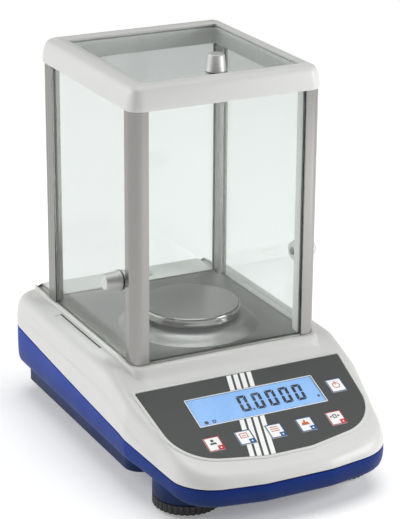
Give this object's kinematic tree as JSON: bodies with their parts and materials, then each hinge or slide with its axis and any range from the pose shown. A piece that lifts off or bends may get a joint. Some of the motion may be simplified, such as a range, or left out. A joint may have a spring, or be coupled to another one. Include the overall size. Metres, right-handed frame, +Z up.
{
  "type": "analytical balance",
  "caption": "Laboratory balance with a sliding glass weighing chamber, round steel pan, sloping key and display panel and levelling feet.",
  "frame": {"origin": "centre of the bounding box at bench level, midway between the feet side to side", "axes": "+Z up, +Y from the control panel towards the connectors at the back, +X to the user's right"},
  "size_m": [0.21, 0.3354, 0.3327],
  "materials": {
    "housing_white": "satin off-white",
    "housing_blue": "satin blue",
    "dark_plastic": "black",
    "membrane_grey": "fine satin dark grey",
    "lens": "clear",
    "display_blue": "backlit pale blue",
    "board_green": "solder mask",
    "key_red": "printed foil",
    "key_blue": "printed foil",
    "aluminium": "cast",
    "anodised": "satin anodised",
    "steel": "satin stainless",
    "screw_steel": "zinc plated",
    "polished_metal": "polished",
    "brass": "turned",
    "foot_rubber": "matte black",
    "pane_glass": "clear float glass",
    "level_green": "tinted liquid"
  },
  "bodies": {
    "base": {"lower_housing": "housing_blue", "upper_housing": "housing_white", "rear_plate": "dark_plastic", "overlay": "membrane_grey", "display_lens": "lens", "display_module": "display_blue", "display_board": "board_green", "key_domes": "steel", "main_board": "board_green", "chassis": "aluminium", "load_cell": "aluminium", "cell_screws": "screw_steel", "floor_plate": "steel", "post_front_left": "anodised", "post_front_right": "anodised", "post_rear_left": "anodised", "post_rear_right": "anodised", "trim_left": "anodised", "trim_right": "anodised", "cap_frame": "housing_white", "front_glass": "pane_glass", "rear_glass": "pane_glass", "left_rail": "anodised", "right_rail": "anodised", "foot_bushes": "brass", "rear_feet": "foot_rubber", "housing_screws": "screw_steel", "power_inlet": "dark_plastic", "data_port": "steel", "port_standoffs": "brass", "level_cup": "aluminium", "level_vial": "level_green"},
    "left_door_body": {"left_door": "pane_glass", "left_knob": "polished_metal", "left_washer": "polished_metal"},
    "right_door_body": {"right_door": "pane_glass", "right_knob": "polished_metal", "right_washer": "polished_metal"},
    "top_door_body": {"top_door": "pane_glass", "top_knob": "polished_metal", "top_washer": "polished_metal"},
    "pan_body": {"weighing_pan": "steel", "pan_spindle": "steel"},
    "foot_left_body": {"wheel_left": "dark_plastic", "stud_left": "screw_steel", "pad_left": "foot_rubber"},
    "foot_right_body": {"wheel_right": "dark_plastic", "stud_right": "screw_steel", "pad_right": "foot_rubber"},
    "key_user_body": {"key_user": "key_red"},
    "key_print_body": {"key_print": "key_blue"},
    "key_menu_body": {"key_menu": "key_blue"},
    "key_cal_body": {"key_cal": "key_blue"},
    "key_tare_body": {"key_tare": "key_red"},
    "key_power_body": {"key_power": "key_blue"}
  },
  "joints": [
    {"name": "left_door_slide", "type": "slide", "parent": "base", "child": "left_door_body", "axis": [0, 1, 0], "range_m": [0, 0.115]},
    {"name": "right_door_slide", "type": "slide", "parent": "base", "child": "right_door_body", "axis": [0, 1, 0], "range_m": [0, 0.115]},
    {"name": "top_door_slide", "type": "slide", "parent": "base", "child": "top_door_body", "axis": [0, 1, 0], "range_m": [0, 0.112]},
    {"name": "pan_sink", "type": "slide", "parent": "base", "child": "pan_body", "axis": [0, 0, -1], "range_m": [0, 0.0004], "stiffness_N_per_m": 8000, "springref_m": -0.0006},
    {"name": "key_user_press", "type": "slide", "parent": "base", "child": "key_user_body", "axis": [0, 0.3511, -0.9363], "range_m": [0, 0.0007], "stiffness_N_per_m": 1200, "springref_m": -0.0008},
    {"name": "key_print_press", "type": "slide", "parent": "base", "child": "key_print_body", "axis": [0, 0.3511, -0.9363], "range_m": [0, 0.0007], "stiffness_N_per_m": 1200, "springref_m": -0.0008},
    {"name": "key_menu_press", "type": "slide", "parent": "base", "child": "key_menu_body", "axis": [0, 0.3511, -0.9363], "range_m": [0, 0.0007], "stiffness_N_per_m": 1200, "springref_m": -0.0008},
    {"name": "key_cal_press", "type": "slide", "parent": "base", "child": "key_cal_body", "axis": [0, 0.3511, -0.9363], "range_m": [0, 0.0007], "stiffness_N_per_m": 1200, "springref_m": -0.0008},
    {"name": "key_tare_press", "type": "slide", "parent": "base", "child": "key_tare_body", "axis": [0, 0.3511, -0.9363], "range_m": [0, 0.0007], "stiffness_N_per_m": 1200, "springref_m": -0.0008},
    {"name": "key_power_press", "type": "slide", "parent": "base", "child": "key_power_body", "axis": [0, 0.3511, -0.9363], "range_m": [0, 0.0007], "stiffness_N_per_m": 1200, "springref_m": -0.0008},
    {"name": "foot_left_turn", "type": "hinge", "parent": "base", "child": "foot_left_body", "pos_m": [-0.067, -0.1059, 0.01], "axis": [0, 0, 1], "continuous": true},
    {"name": "foot_right_turn", "type": "hinge", "parent": "base", "child": "foot_right_body", "pos_m": [0.067, -0.1059, 0.01], "axis": [0, 0, 1], "continuous": true}
  ]
}
